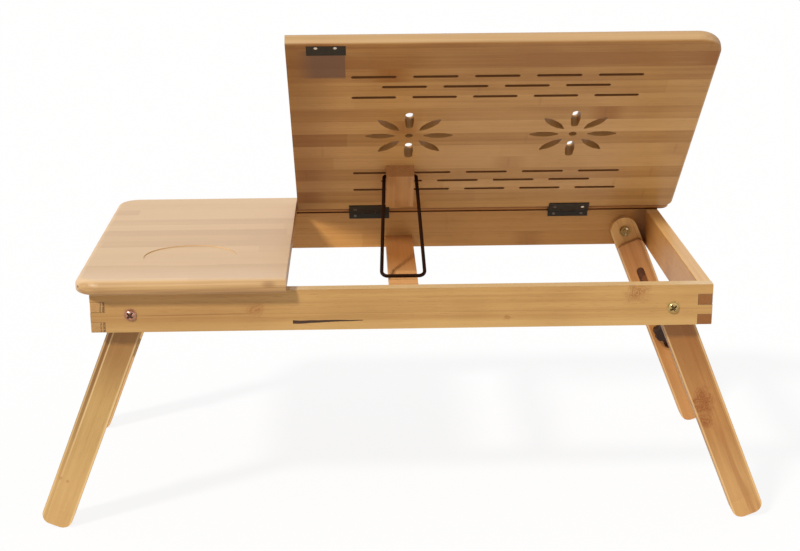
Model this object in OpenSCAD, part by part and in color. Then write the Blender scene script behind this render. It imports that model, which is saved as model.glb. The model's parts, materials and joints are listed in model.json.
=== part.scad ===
// Folding lap desk with a tilting slotted board, a fixed side board, a drawer under it
// and four folding, extending legs. Units are millimetres. The floor is z = 0, x runs
// from the fixed board to the tilting board, y from the front rail to the back rail.

/* [Top boards] */
// Length of the whole closed top
top_l = 500; // [440:2:640]
// Depth of the whole closed top
top_d = 300; // [280:2:360]
// Thickness of every top board
board_t = 11; // [9:0.5:16]
// Plan radius of the outer corners
corner_r = 20; // [14:1:40]
// Plan radius of the tilting board's corner beside the rear strip
back_r = 7; // [6.5:0.5:10]
// Radius on the upper edges of the boards
edge_top = 6; // [3:0.5:6.5]
// Radius on the lower edges of the boards
edge_low = 2.5; // [1:0.5:2.5]
// Width of the fixed board
fixed_w = 161.5; // [160:0.5:180]
// Gap between the fixed board and the tilting board
board_gap = 1.5; // [1:0.5:4]
// Depth of the fixed strip behind the tilting board
strip_d = 22; // [18:1:26]
// Diameter of the cup recess
cup_d = 74; // [60:1:90]
// Depth of the cup recess
cup_deep = 0.6; // [0.4:0.1:4]
// Cup centre from the left end of the top
cup_x = 83; // [70:1:100]
// Cup centre from the front edge of the top
cup_y = 78; // [60:1:150]

/* [Frame] */
// Overhang of the top over the frame on all sides
overhang = 11; // [6:1:20]
// Thickness of the frame rails
rail_t = 11; // [9:0.5:16]
// Height of the frame rails
rail_h = 32; // [28:1:44]
// Number of fingers in each corner joint
fingers = 4; // [2:2:8]

/* [Tilt] */
// Opening angle of the tilting board
tilt = 40.2; // [30:0.2:48]
// Gap under the closed tilting board
lid_gap = 0.3; // [0.2:0.1:1]
// Distance from the hinge axis to the back edge of the board
lid_back = 5.8; // [4.5:0.1:7]
// Left end of the first ventilation slot from the left edge of the tilting board
slot_x = 50; // [40:1:60]
// Length of a ventilation slot
slot_l = 36; // [20:1:42]
// Width of a ventilation slot
slot_w = 3.5; // [2.5:0.1:6]
// Distance from slot to slot along a row
slot_pitch = 48.8; // [46:0.2:54]
// First flower centre from the left edge of the tilting board
flower_x = 97.4; // [80:0.2:110]
// Distance between the two flower centres
flower_pitch = 136.8; // [110:0.2:160]
// Flower centres from the hinge axis
flower_v = 136.4; // [110:0.2:160]
// Inner radius of the petals
petal_in = 12; // [10:0.5:16]
// Outer radius of the petals
petal_out = 36.5; // [30:0.5:42]
// Width of a petal
petal_w = 8; // [5:0.5:9]
// End radius of a blunt petal, as a share of its width
petal_blunt = 0.42; // [0.3:0.02:0.42]
// End radius of a pointed petal, as a share of its width
petal_sharp = 0.16; // [0.12:0.02:0.3]
// Diameter of the hole in the middle of a flower
flower_hole = 6.5; // [4:0.5:10]

/* [Hinges] */
// Length of a hinge
hinge_l = 36; // [24:1:48]
// Radius of the hinge barrel
barrel_r = 2.2; // [1.8:0.1:3]
// Radius of the hinge pin
pin_r = 1.1; // [0.7:0.1:1.4]
// Thickness of the hinge leaves
leaf_t = 0.9; // [0.6:0.1:1.2]
// Reach of the leaf on the tilting board from the axis
leaf_reach = 14.4; // [10:0.2:18]
// Reach of the leaf on the back rail below the rail top
leaf_drop = 5.2; // [4:0.1:5.4]
// First hinge centre from the left edge of the tilting board
hinge_x = 64; // [40:1:80]
// Distance between the hinge centres
hinge_pitch = 180; // [140:1:200]

/* [Prop] */
// Centre of the prop block from the left edge of the tilting board
prop_x = 90.7; // [80:0.1:110]
// Width of the prop block
block_w = 24; // [18:1:30]
// Thickness of the prop block
block_t = 11; // [9:0.5:14]
// Length of the prop block
block_l = 55; // [40:1:80]
// Prop pivot from the hinge axis along the board
pivot_v = 77.3; // [70:0.1:84]
// Solid wood past the prop pivot
block_nose = 9.1; // [7:0.1:14]
// Diameter of the prop wire
wire_d = 3; // [2:0.1:4]
// How much wider each side of the prop is at its foot
splay = 4.2; // [0:0.1:8]
// Radius of the bends at the foot of the prop
bend_r = 5; // [3:0.5:7]
// Height of the notched bar
bar_h = 10.5; // [9:0.5:14]
// Number of notches
notches = 4; // [3:1:5]
// Distance from notch to notch
notch_pitch = 15; // [13:0.5:17]
// Depth of a notch
notch_deep = 4.5; // [3:0.5:6]
// Flat land between two notches
notch_land = 2; // [1:0.5:4]
// Wall of the notch in use from the front of the frame
notch_y = 110.5; // [104:0.5:116]
// Gap between the foot of the prop and the lands
foot_gap = 0.7; // [0.5:0.1:1.5]

/* [Legs] */
// Width of a leg strip
leg_w = 24.5; // [20:0.5:26]
// Thickness of a leg strip
leg_t = 8; // [6:0.5:9]
// Length of a leg from its pivot to its foot
leg_reach = 191.5; // [170:0.5:191.5]
// Radius of the foot corners
foot_r = 8; // [4:0.5:10]
// Outward lean of a leg
lean = 22; // [16:0.5:22]
// Leg pivot from the end of the frame
pivot_in = 30.5; // [29:0.5:34]
// Leg pivot below the rail top
pivot_drop = 18; // [17:0.5:19.5]
// Diameter of the pivot bolt
bolt_d = 5; // [4:0.5:6]
// Start of the sliding strip below the pivot
slide_top = 10; // [9.5:0.5:14]
// Start of the slot below the pivot
slot_top = 35; // [28:0.5:45]
// Length of the slot in the sliding strip
leg_slot_l = 82; // [76:1:95]
// Width of the slot in the sliding strip
leg_slot_w = 7; // [6.6:0.1:9]
// Lock stud below the pivot
lock_at = 99; // [92:1:105]
// Diameter of the lock stud
stud_d = 6; // [5:0.5:6]
// Diameter of the lock knob
knob_d = 18; // [14:1:22]
// Height of the lock knob
knob_h = 10; // [8:0.5:11]
// Depth of the blind bore in the lock knob
knob_bore = 7; // [5:0.5:7.5]

/* [Drawer] */
// Length of the drawer from its face to its back
drawer_l = 144; // [120:1:144]
// Thickness of the drawer boards
drawer_t = 8; // [6:0.5:9]
// Height of the rail left below the drawer opening
sill_h = 8; // [6:0.5:10]
// Gap around the drawer face
face_gap = 0.5; // [0.4:0.1:1]
// Thickness of the drawer bottom
bottom_t = 3; // [2:0.5:4]
// Radius of the finger cut in the drawer face
finger_r = 12; // [9:0.5:14]
// Width of a drawer runner
runner_w = 5; // [4:0.5:7]
// Depth of the runner lip in the drawer groove
lip = 4; // [3:0.5:5]
// Thickness of the runner lip
lip_t = 3; // [2:0.5:4]
// Height of a drawer runner
runner_h = 9; // [8:0.5:11]

/* [Fits] */
// Radial clearance of pins and bolts in their bores
fit = 0.06; // [0.03:0.01:0.1]
// Gap between faces that slide or turn past each other
play = 0.3; // [0.2:0.05:0.5]
// Gap between the rail and the leg beside it
leg_play = 0.4; // [0.3:0.05:0.6]
// Clearance of seated pieces in their pockets
seat = 0.1; // [0.05:0.01:0.2]

/* [Hardware] */
// Diameter of the pivot bolt head
head_d = 8; // [7:0.5:10]
// Height of the pivot bolt head
head_h = 2.6; // [2:0.1:4]
// Thickness of the washers
washer_t = 0.8; // [0.5:0.1:1.2]
// Width of the nut across its flats
nut_w = 8; // [7:0.5:9]
// Height of the nut
nut_h = 3; // [2:0.5:4]
// Length of the catch plate
plate_l = 30.5; // [20:0.5:40]
// Width of the catch plate
plate_w = 13; // [8:0.5:16]
// Thickness of the catch plate
plate_t = 0.8; // [0.5:0.1:1.5]
// Left end of the catch plate from the left edge of the tilting board
plate_x = 16; // [8:0.5:30]
// Distance from the catch plate to the free edge
plate_in = 0.8; // [0.5:0.1:8]

/* [Hidden] */
$fn = 72;
wire_sides = 14;
bend_steps = 6;

// frame
frame_l = top_l - 2 * overhang;
frame_d = top_d - 2 * overhang;
fx = -frame_l / 2;
fy = -frame_d / 2;
back_in = fy + frame_d - rail_t;
foot_drop = (leg_reach - foot_r) * cos(lean) + (leg_w / 2 - foot_r) * sin(lean) + foot_r;
rail_top = pivot_drop + foot_drop;
rail_low = rail_top - rail_h;
finger_h = rail_h / fingers;
strip_r = strip_d / 2 - 1;

// tilting board, measured from its hinge axis
axis_y = back_in - barrel_r;
axis_z = rail_top + lid_gap + barrel_r - leaf_t;
under = barrel_r - leaf_t;
lid_x = -top_l / 2 + fixed_w + board_gap;
lid_l = top_l - fixed_w - board_gap;
lid_v = axis_y + top_d / 2;
lid_d = lid_v - lid_back;
row_five = [227.8, 197.4, 73.4, 43.4];
row_four = [212.9, 58.8];

// prop
prop_cx = lid_x + prop_x;
pivot_w = under + block_t / 2;
pivot_py = axis_y - pivot_v * cos(tilt) - pivot_w * sin(tilt);
pivot_pz = axis_z + pivot_v * sin(tilt) - pivot_w * cos(tilt);
bar_top = rail_low + bar_h;
wall_y = fy + notch_y;
foot_y = wall_y + wire_d / 2 + play;
foot_z = bar_top + wire_d / 2 + foot_gap;
bail_l = norm([pivot_py - foot_y, pivot_pz - foot_z]);
bail_dir = atan2(pivot_pz - foot_z, pivot_py - foot_y);
bail_half = block_w / 2 + wire_d / 2 + play;
foot_half = bail_half + splay;
splay_a = atan(splay / bail_l);

// legs
slide_y = leg_play + leg_t + play;
knob_y = slide_y + leg_t + play;
stud_in = leg_t / 2;
bore_r = bolt_d / 2 + fit;

// drawer
lane = knob_y + knob_h + 2;
run_y = fy + rail_t + lane;
draw_half = -run_y - runner_w - play;
draw_top = rail_top - 2 * face_gap;
draw_low = rail_low + sill_h + face_gap;
draw_h = draw_top - draw_low;
groove_z = rail_top - runner_h;

// Edge profile of a board, from x = 0 to its nose at x = r: a large radius on top
module nose(r) {
    union() {
        square([r - edge_top, board_t]);
        square([r - edge_low, board_t - edge_top]);
        translate([0, edge_low])
        square([r, board_t - edge_top - edge_low]);
        translate([r - edge_low, edge_low])
        circle(edge_low);
        intersection() {
            translate([r - edge_top, board_t - edge_top])
            circle(edge_top);
            translate([r - edge_top, board_t - edge_top])
            square([edge_top, edge_top]);
        }
    }
}

// Board w by d with round edges on the sides named 1, and corners of radius r between them
module slab(w, d, left, right, front, back, r = corner_r) {
    x0 = left * r;
    x1 = w - right * r;
    y0 = front * r;
    y1 = d - back * r;
    union() {
        translate([x0, y0, 0])
        cube([x1 - x0, y1 - y0, board_t]);
        if (right)
            translate([x1, y1, 0])
            rotate([90, 0, 0])
            linear_extrude(y1 - y0)
            nose(r);
        if (left)
            translate([x0, y0, 0])
            rotate([90, 0, 180])
            linear_extrude(y1 - y0)
            nose(r);
        if (front)
            translate([x1, y0, 0])
            rotate([90, 0, -90])
            linear_extrude(x1 - x0)
            nose(r);
        if (back)
            translate([x0, y1, 0])
            rotate([90, 0, 90])
            linear_extrude(x1 - x0)
            nose(r);
        if (right && back)
            translate([x1, y1, 0])
            corner(r, 0);
        if (left && back)
            translate([x0, y1, 0])
            corner(r, 90);
        if (left && front)
            translate([x0, y0, 0])
            corner(r, 180);
        if (right && front)
            translate([x1, y0, 0])
            corner(r, 270);
    }
}

// Round corner of a board: the edge profile turned through a quarter
module corner(r, a) {
    rotate([0, 0, a])
    rotate_extrude(angle = 90)
    nose(r);
}

// Long hole with round ends, centred, along x
module long_hole(l, w, h) {
    union() {
        translate([-(l - w) / 2, -w / 2, 0])
        cube([l - w, w, h]);
        for (s = [-1, 1])
            translate([s * (l - w) / 2, 0, 0])
            cylinder(r = w / 2, h = h);
    }
}

// Rails: fingers of the long rails are the first and third from the top
module long_rail(y) {
    difference() {
        translate([fx, y, rail_low])
        cube([frame_l, rail_t, rail_h]);
        for (x = [fx - 1, fx + frame_l - rail_t])
            for (k = [1 : 2 : fingers - 1])
                translate([x, y - 1, rail_top - (k + 1) * finger_h - (k == fingers - 1 ? 1 : 0)])
                cube([rail_t + 1, rail_t + 2, finger_h + (k == fingers - 1 ? 1 : 0)]);
        for (s = [-1, 1])
            translate([s * (frame_l / 2 - pivot_in), y - 1, rail_top - pivot_drop])
            rotate([-90, 0, 0])
            cylinder(r = bore_r, h = rail_t + 2);
    }
}

module side_rail(x) {
    union() {
        translate([x, fy + rail_t, rail_low])
        cube([rail_t, frame_d - 2 * rail_t, rail_h]);
        for (y = [fy, fy + frame_d - rail_t])
            for (k = [1 : 2 : fingers - 1])
                translate([x, y, rail_top - (k + 1) * finger_h])
                cube([rail_t, rail_t, finger_h]);
    }
}

module front_rail() {
    color("burlywood")
    long_rail(fy);
}

module back_rail() {
    color("tan")
    long_rail(back_in);
}

module left_rail() {
    color("peru")
    difference() {
        side_rail(fx);
        translate([fx - 1, -draw_half - face_gap, rail_low + sill_h])
        cube([rail_t + 2, 2 * (draw_half + face_gap), rail_h]);
    }
}

module right_rail() {
    color("sandybrown")
    side_rail(fx + frame_l - rail_t);
}

// Top boards
module fixed_top() {
    color("wheat")
    difference() {
        translate([-top_l / 2, -top_d / 2, rail_top])
        slab(fixed_w, top_d, 1, 0, 1, 1);
        translate([-top_l / 2 + cup_x, -top_d / 2 + cup_y, rail_top + board_t - cup_deep])
        cylinder(r = cup_d / 2, h = cup_deep + 1, $fn = 96);
    }
}

module rear_strip() {
    color("navajowhite")
    translate([-top_l / 2 + fixed_w, top_d / 2 - strip_d, rail_top])
    slab(top_l - fixed_w, strip_d, 0, 1, 1, 1, strip_r);
}

// Everything on the tilting board: v = -y runs from the hinge axis to the free edge
module on_lid() {
    translate([0, axis_y, axis_z])
    rotate([-tilt, 0, 0])
    children();
}

module petal(tip) {
    in_r = petal_w * tip * 0.9;
    out_r = petal_w * tip;
    span = petal_out - petal_in;
    side = [[0.25, 0.42], [0.5, 0.5], [0.75, 0.43]];
    union() {
        polygon(concat([[petal_in + in_r, in_r - 0.05]],
                       [for (p = side) [petal_in + p[0] * span, p[1] * petal_w]],
                       [[petal_out - out_r, out_r - 0.05], [petal_out - out_r, 0.05 - out_r]],
                       [for (k = [2 : -1 : 0])
                           [petal_in + side[k][0] * span, -side[k][1] * petal_w]],
                       [[petal_in + in_r, 0.05 - in_r]]));
        translate([petal_in + in_r, 0])
        circle(in_r);
        translate([petal_out - out_r, 0])
        circle(out_r);
    }
}

// Eight petals round a small hole: the two that lie across the board have blunt ends
module flower_cut(h) {
    union() {
        cylinder(r = flower_hole / 2, h = h);
        for (k = [0 : 7])
            rotate([0, 0, k * 45])
            linear_extrude(h)
            petal(k % 4 == 2 ? petal_blunt : petal_sharp);
    }
}

module slot_row(v, count, first) {
    for (k = [0 : count - 1])
        translate([lid_x + slot_x + slot_l / 2 + first + k * slot_pitch, -v, -under - 1])
        long_hole(slot_l, slot_w, board_t + 2);
}

module tilt_top() {
    color("burlywood")
    on_lid()
    difference() {
        union() {
            translate([lid_x, -lid_v, -under])
            slab(lid_l, lid_d - 2 * back_r, 0, 1, 1, 0);
            translate([lid_x, -lid_back - 2 * back_r, -under])
            slab(lid_l, 2 * back_r, 0, 1, 0, 1, back_r);
        }
        for (v = row_five)
            slot_row(v, 5, 0);
        for (v = row_four)
            slot_row(v, 4, slot_pitch / 2);
        for (k = [0, 1])
            translate([lid_x + flower_x + k * flower_pitch, -flower_v, -under - 1])
            flower_cut(board_t + 2);
        translate([lid_x + plate_x - seat, -lid_v + edge_low + plate_in - seat, -under - 1])
        cube([plate_l + 2 * seat, plate_w + 2 * seat, plate_t + 1]);
    }
}

module catch_plate() {
    color("dimgray")
    on_lid()
    translate([lid_x + plate_x, -lid_v + edge_low + plate_in, -under])
    cube([plate_l, plate_w, plate_t]);
}

// Block under the board that carries the prop
module prop_block() {
    color("peru")
    on_lid()
    difference() {
        translate([prop_cx - block_w / 2, -pivot_v - block_nose, -under - block_t])
        cube([block_w, block_l, block_t]);
        translate([prop_cx - block_w / 2 - 1, -pivot_v, -pivot_w])
        rotate([0, 90, 0])
        cylinder(r = wire_d / 2 + fit, h = block_w + 2);
    }
}

// Wire prop: a pin through the block, and a loop swept down one leg, across the foot
// and up the other. The path lies in the plane of the prop, x across and y towards the foot.
bend_at = foot_half - bend_r * tan(45 + splay_a / 2);
function bend_point(a) = [bend_at + bend_r * sin(a), bend_r * (1 - cos(a)) - bail_l];
half_path = [for (k = [0 : bend_steps]) bend_point(k * (90 + splay_a) / bend_steps)];
path = concat([[-bail_half, 0]],
              [for (k = [bend_steps : -1 : 0]) [-half_path[k][0], half_path[k][1]]],
              half_path,
              [[bail_half, 0]]);
function unit(v) = v / norm(v);
function path_dir(i) = unit(path[min(i + 1, len(path) - 1)] - path[max(i - 1, 0)]);
function ring(i) = [for (k = [0 : wire_sides - 1])
    let (d = path_dir(i), c = wire_d / 2 * cos(k * 360 / wire_sides))
    [path[i][0] + d[1] * c, path[i][1] - d[0] * c, wire_d / 2 * sin(k * 360 / wire_sides)]];
function side(i, k) = [i * wire_sides + k, i * wire_sides + (k + 1) % wire_sides,
                       (i + 1) * wire_sides + (k + 1) % wire_sides, (i + 1) * wire_sides + k];

module wire_loop() {
    n = len(path);
    polyhedron(points = [for (i = [0 : n - 1]) for (p = ring(i)) p],
               faces = concat([[for (k = [wire_sides - 1 : -1 : 0]) k]],
                              [for (i = [0 : n - 2]) for (k = [0 : wire_sides - 1]) side(i, k)],
                              [[for (k = [0 : wire_sides - 1]) (n - 1) * wire_sides + k]]));
}

module wire_bail() {
    color("black")
    translate([prop_cx, pivot_py, pivot_pz])
    rotate([bail_dir, 0, 0])
    union() {
        wire_loop();
        translate([-bail_half - wire_d / 2, 0, 0])
        rotate([0, 90, 0])
        cylinder(r = wire_d / 2, h = 2 * bail_half + wire_d);
    }
}

// Bar with saw-tooth notches: steep walls towards the front, ramps towards the back
function notch_wall(k) = wall_y + (k - 2) * notch_pitch;
function tooth(k) = [
    [notch_wall(k), bar_top],
    [notch_wall(k), bar_top - notch_deep],
    [notch_wall(k + 1) - notch_land, bar_top]
];

module notched_bar() {
    color("goldenrod")
    translate([prop_cx - block_w / 2, 0, 0])
    rotate([90, 0, 90])
    linear_extrude(block_w)
    polygon(concat([[fy + rail_t, rail_low], [fy + rail_t, bar_top]],
                   [for (k = [0 : notches - 1]) for (p = tooth(k)) p],
                   [[back_in, bar_top], [back_in, rail_low]]));
}

// Butt hinges: outer knuckles and pin on the rail leaf, middle knuckle on the board leaf
module hinge_at(k) {
    translate([lid_x + hinge_x + k * hinge_pitch, 0, 0])
    children();
}

module rail_leaf(k) {
    third = hinge_l / 3;
    color("dimgray")
    hinge_at(k)
    union() {
        difference() {
            translate([-hinge_l / 2, back_in - leaf_t, rail_top - leaf_drop])
            cube([hinge_l, leaf_t, axis_z - rail_top + leaf_drop]);
            translate([-third / 2 - play, back_in - leaf_t - 1, axis_z - barrel_r - play])
            cube([third + 2 * play, leaf_t + 2, barrel_r + play + 1]);
        }
        for (s = [-1, 1])
            translate([s * third - third / 2, axis_y, axis_z])
            rotate([0, 90, 0])
            cylinder(r = barrel_r, h = third);
        translate([-hinge_l / 2, axis_y, axis_z])
        rotate([0, 90, 0])
        cylinder(r = pin_r, h = hinge_l);
    }
}

module lid_leaf(k) {
    third = hinge_l / 3;
    color("gray")
    hinge_at(k)
    on_lid()
    difference() {
        union() {
            translate([-hinge_l / 2, -leaf_reach, -barrel_r])
            cube([hinge_l, leaf_reach - barrel_r - play, leaf_t]);
            translate([play - third / 2, -leaf_reach, -barrel_r])
            cube([third - 2 * play, leaf_reach, leaf_t]);
            translate([play - third / 2, 0, 0])
            rotate([0, 90, 0])
            cylinder(r = barrel_r, h = third - 2 * play);
        }
        translate([-hinge_l / 2, 0, 0])
        rotate([0, 90, 0])
        cylinder(r = pin_r + fit, h = hinge_l);
    }
}

// Legs: x points outward from the pivot, y away from the rail, z up
module at_leg(sx, sy) {
    translate([sx * (frame_l / 2 - pivot_in), sy * (frame_d / 2 - rail_t), rail_top - pivot_drop])
    mirror([sx < 0 ? 1 : 0, 0, 0])
    mirror([0, sy > 0 ? 1 : 0, 0])
    children();
}

// Foot end of a strip, from a to the reach of the leg
module foot_end(a) {
    union() {
        translate([-leg_w / 2, foot_r - leg_reach])
        square([leg_w, leg_reach - foot_r - a]);
        translate([foot_r - leg_w / 2, -leg_reach])
        square([leg_w - 2 * foot_r, foot_r + 1]);
        for (s = [-1, 1])
            translate([s * (leg_w / 2 - foot_r), foot_r - leg_reach])
            circle(foot_r);
    }
}

module strip(y) {
    rotate([0, -lean, 0])
    translate([0, y + leg_t, 0])
    rotate([90, 0, 0])
    linear_extrude(leg_t)
    children();
}

module across(a, y, r, h) {
    rotate([0, -lean, 0])
    translate([0, y, -a])
    rotate([-90, 0, 0])
    cylinder(r = r, h = h);
}

module leg_fixed(sx, sy) {
    color("chocolate")
    at_leg(sx, sy)
    difference() {
        strip(leg_play)
        union() {
            circle(leg_w / 2);
            foot_end(0);
        }
        across(0, -1, bore_r, leg_t + 2);
        across(lock_at, leg_play + leg_t - stud_in - seat, stud_d / 2 + seat, leg_t);
    }
}

module leg_slide(sx, sy) {
    r = leg_w / 4;
    color("darkorange")
    at_leg(sx, sy)
    difference() {
        strip(slide_y)
        union() {
            foot_end(slide_top + r);
            translate([r - leg_w / 2, -slide_top - r - 1])
            square([leg_w - 2 * r, r + 1]);
            for (s = [-1, 1])
                translate([s * (leg_w / 2 - r), -slide_top - r])
                circle(r);
        }
        rotate([0, -lean, 0])
        translate([0, slide_y - 1, -slot_top - leg_slot_l / 2])
        rotate([-90, 90, 0])
        long_hole(leg_slot_l, leg_slot_w, leg_t + 2);
    }
}

module pivot_bolt(sx, sy) {
    end_y = leg_play + leg_t + play;
    color("gold")
    at_leg(sx, sy)
    rotate([-90, 0, 0])
    union() {
        translate([0, 0, -rail_t - washer_t])
        cylinder(r = head_d / 2 + 0.7, h = washer_t);
        translate([0, 0, -rail_t - washer_t])
        mirror([0, 0, 1])
        rotate_extrude()
        intersection() {
            translate([0, head_h - head_d * 0.65])
            circle(head_d * 0.65);
            square([head_d / 2, head_h]);
        }
        translate([0, 0, -rail_t - 1])
        cylinder(r = bolt_d / 2, h = rail_t + 1 + end_y + washer_t + nut_h + 1);
        translate([0, 0, end_y])
        cylinder(r = nut_w / 2 + 0.8, h = washer_t);
        translate([0, 0, end_y + washer_t])
        cylinder(r = nut_w / sqrt(3), h = nut_h, $fn = 6);
    }
}

// Lock: the stud is set in the fixed strip and passes the slot, and the star knob turns on it
module at_lock(sx, sy) {
    at_leg(sx, sy)
    rotate([0, -lean, 0])
    translate([0, 0, -lock_at])
    rotate([-90, 0, 0])
    children();
}

module lock_stud(sx, sy) {
    stud_y = leg_play + leg_t - stud_in;
    color("silver")
    at_lock(sx, sy)
    translate([0, 0, stud_y])
    cylinder(r = stud_d / 2, h = knob_y + knob_bore - play - stud_y);
}

module lock_knob(sx, sy) {
    color("black")
    at_lock(sx, sy)
    difference() {
        translate([0, 0, knob_y])
        rotate_extrude()
        union() {
            square([knob_d / 2, knob_h * 0.7]);
            square([knob_d / 2 - knob_h * 0.3, knob_h]);
            intersection() {
                translate([knob_d / 2 - knob_h * 0.3, knob_h * 0.7])
                circle(knob_h * 0.3);
                square([knob_d / 2, knob_h]);
            }
        }
        for (k = [0 : 5])
            rotate([0, 0, k * 60])
            translate([knob_d * 0.62, 0, knob_y - 1])
            cylinder(r = knob_d * 0.2, h = knob_h + 2);
        translate([0, 0, knob_y - 1])
        cylinder(r = stud_d / 2 + fit, h = knob_bore + 1);
    }
}

// Drawer: a face, two grooved sides, an end and a thin bottom
module drawer_face() {
    color("tan")
    difference() {
        translate([fx, -draw_half, draw_low])
        cube([rail_t, 2 * draw_half, draw_h]);
        translate([fx - 1, 0, draw_top])
        rotate([0, 90, 0])
        cylinder(r = finger_r, h = rail_t + 2);
    }
}

module drawer_side(s) {
    color(s < 0 ? "peru" : "sienna")
    difference() {
        translate([fx + rail_t, s < 0 ? -draw_half : draw_half - drawer_t, draw_low])
        cube([drawer_l - rail_t, drawer_t, draw_h]);
        translate([fx + rail_t - 1, s < 0 ? -draw_half - 1 : draw_half - lip - play, groove_z - play])
        cube([drawer_l - rail_t + 2, lip + play + 1, lip_t + 2 * play]);
        translate([fx + rail_t - 1, s < 0 ? -draw_half + drawer_t / 2 - seat : draw_half - drawer_t - 1,
                   draw_low + bottom_t - seat])
        cube([drawer_l - rail_t + 2, drawer_t / 2 + 1 + seat, bottom_t + 2 * seat]);
    }
}

module drawer_end() {
    color("brown")
    translate([fx + drawer_l - drawer_t, drawer_t - draw_half, draw_low + 2 * bottom_t + seat])
    cube([drawer_t, 2 * (draw_half - drawer_t), draw_h - 2 * bottom_t - seat - finger_r / 4]);
}

module drawer_bottom() {
    color("beige")
    translate([fx + rail_t, drawer_t / 2 - draw_half, draw_low + bottom_t])
    cube([drawer_l - rail_t, 2 * draw_half - drawer_t, bottom_t]);
}

// Runners hang from the fixed board, their lips carry the drawer in its grooves
module runner(s) {
    color("olive")
    mirror([0, s > 0 ? 1 : 0, 0])
    union() {
        translate([fx + rail_t, run_y, groove_z])
        cube([drawer_l - rail_t, runner_w, runner_h]);
        translate([fx + rail_t, run_y, groove_z])
        cube([drawer_l - rail_t, runner_w + play + lip, lip_t]);
    }
}

front_rail();
back_rail();
left_rail();
right_rail();
fixed_top();
rear_strip();
notched_bar();
tilt_top();
prop_block();
wire_bail();
catch_plate();
rail_leaf(0);  // hinge_rail_leaf_l
rail_leaf(1);  // hinge_rail_leaf_r
lid_leaf(0);  // hinge_lid_leaf_l
lid_leaf(1);  // hinge_lid_leaf_r
leg_fixed(-1, -1);  // leg_fixed_fl
leg_fixed(1, -1);  // leg_fixed_fr
leg_fixed(-1, 1);  // leg_fixed_bl
leg_fixed(1, 1);  // leg_fixed_br
leg_slide(-1, -1);  // leg_slide_fl
leg_slide(1, -1);  // leg_slide_fr
leg_slide(-1, 1);  // leg_slide_bl
leg_slide(1, 1);  // leg_slide_br
pivot_bolt(-1, -1);  // pivot_bolt_fl
pivot_bolt(1, -1);  // pivot_bolt_fr
pivot_bolt(-1, 1);  // pivot_bolt_bl
pivot_bolt(1, 1);  // pivot_bolt_br
lock_stud(-1, -1);  // lock_stud_fl
lock_stud(1, -1);  // lock_stud_fr
lock_stud(-1, 1);  // lock_stud_bl
lock_stud(1, 1);  // lock_stud_br
lock_knob(-1, -1);  // lock_knob_fl
lock_knob(1, -1);  // lock_knob_fr
lock_knob(-1, 1);  // lock_knob_bl
lock_knob(1, 1);  // lock_knob_br
drawer_face();
drawer_side(-1);  // drawer_side_f
drawer_side(1);  // drawer_side_b
drawer_end();
drawer_bottom();
runner(-1);  // runner_f
runner(1);  // runner_b
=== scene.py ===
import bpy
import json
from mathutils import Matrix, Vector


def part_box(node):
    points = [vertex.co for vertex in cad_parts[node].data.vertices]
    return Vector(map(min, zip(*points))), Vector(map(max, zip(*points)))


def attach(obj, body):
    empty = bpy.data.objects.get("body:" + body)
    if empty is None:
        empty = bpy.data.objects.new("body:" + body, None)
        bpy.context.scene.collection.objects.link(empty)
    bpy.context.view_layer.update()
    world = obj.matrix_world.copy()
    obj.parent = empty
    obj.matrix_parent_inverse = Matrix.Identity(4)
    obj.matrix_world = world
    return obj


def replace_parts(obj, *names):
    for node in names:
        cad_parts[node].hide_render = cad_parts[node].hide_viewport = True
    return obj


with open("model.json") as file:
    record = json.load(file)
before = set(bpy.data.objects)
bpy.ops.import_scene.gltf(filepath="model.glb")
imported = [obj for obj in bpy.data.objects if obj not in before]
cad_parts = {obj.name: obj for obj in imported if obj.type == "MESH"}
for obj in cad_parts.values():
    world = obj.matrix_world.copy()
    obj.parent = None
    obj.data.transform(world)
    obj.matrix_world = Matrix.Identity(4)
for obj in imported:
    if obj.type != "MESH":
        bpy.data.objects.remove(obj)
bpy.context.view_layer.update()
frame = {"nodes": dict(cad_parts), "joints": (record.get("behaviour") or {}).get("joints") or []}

import json
import math
from functools import partial

import bmesh
import bpy
import numpy as np
from mathutils import Matrix, Vector

# --- Camera -----------------------------------------------------------------------------
# A camera 1.5 m in front of the desk and 0.55 m up, fitted to the photograph's straight
# edges. Its lens is long, and the shift puts the desk in the middle of the picture.
camera = bpy.data.objects.new("camera", bpy.data.cameras.new("camera"))
bpy.context.scene.collection.objects.link(camera)
bpy.context.scene.camera = camera
camera.data.sensor_width = 36
camera.data.lens = 80.38
camera.data.shift_x = 0.00478
camera.data.shift_y = 0.15725
camera_place = (-0.03228, -1.46106, 0.55069)
camera_yaw, camera_pitch, camera_roll = np.radians([-1.167, -18.561, -0.471])
aim = Matrix.Rotation(camera_yaw, 3, "Z") @ Matrix.Rotation(camera_pitch, 3, "X")
ahead = aim @ Vector((0, 1, 0))
level = aim @ Vector((1, 0, 0))
upward = aim @ Vector((0, 0, 1))
right = math.cos(camera_roll) * level + math.sin(camera_roll) * upward
up = math.cos(camera_roll) * upward - math.sin(camera_roll) * level
turned = Matrix((right, up, -ahead)).transposed().to_4x4()
camera.matrix_world = Matrix.Translation(camera_place) @ turned


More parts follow.
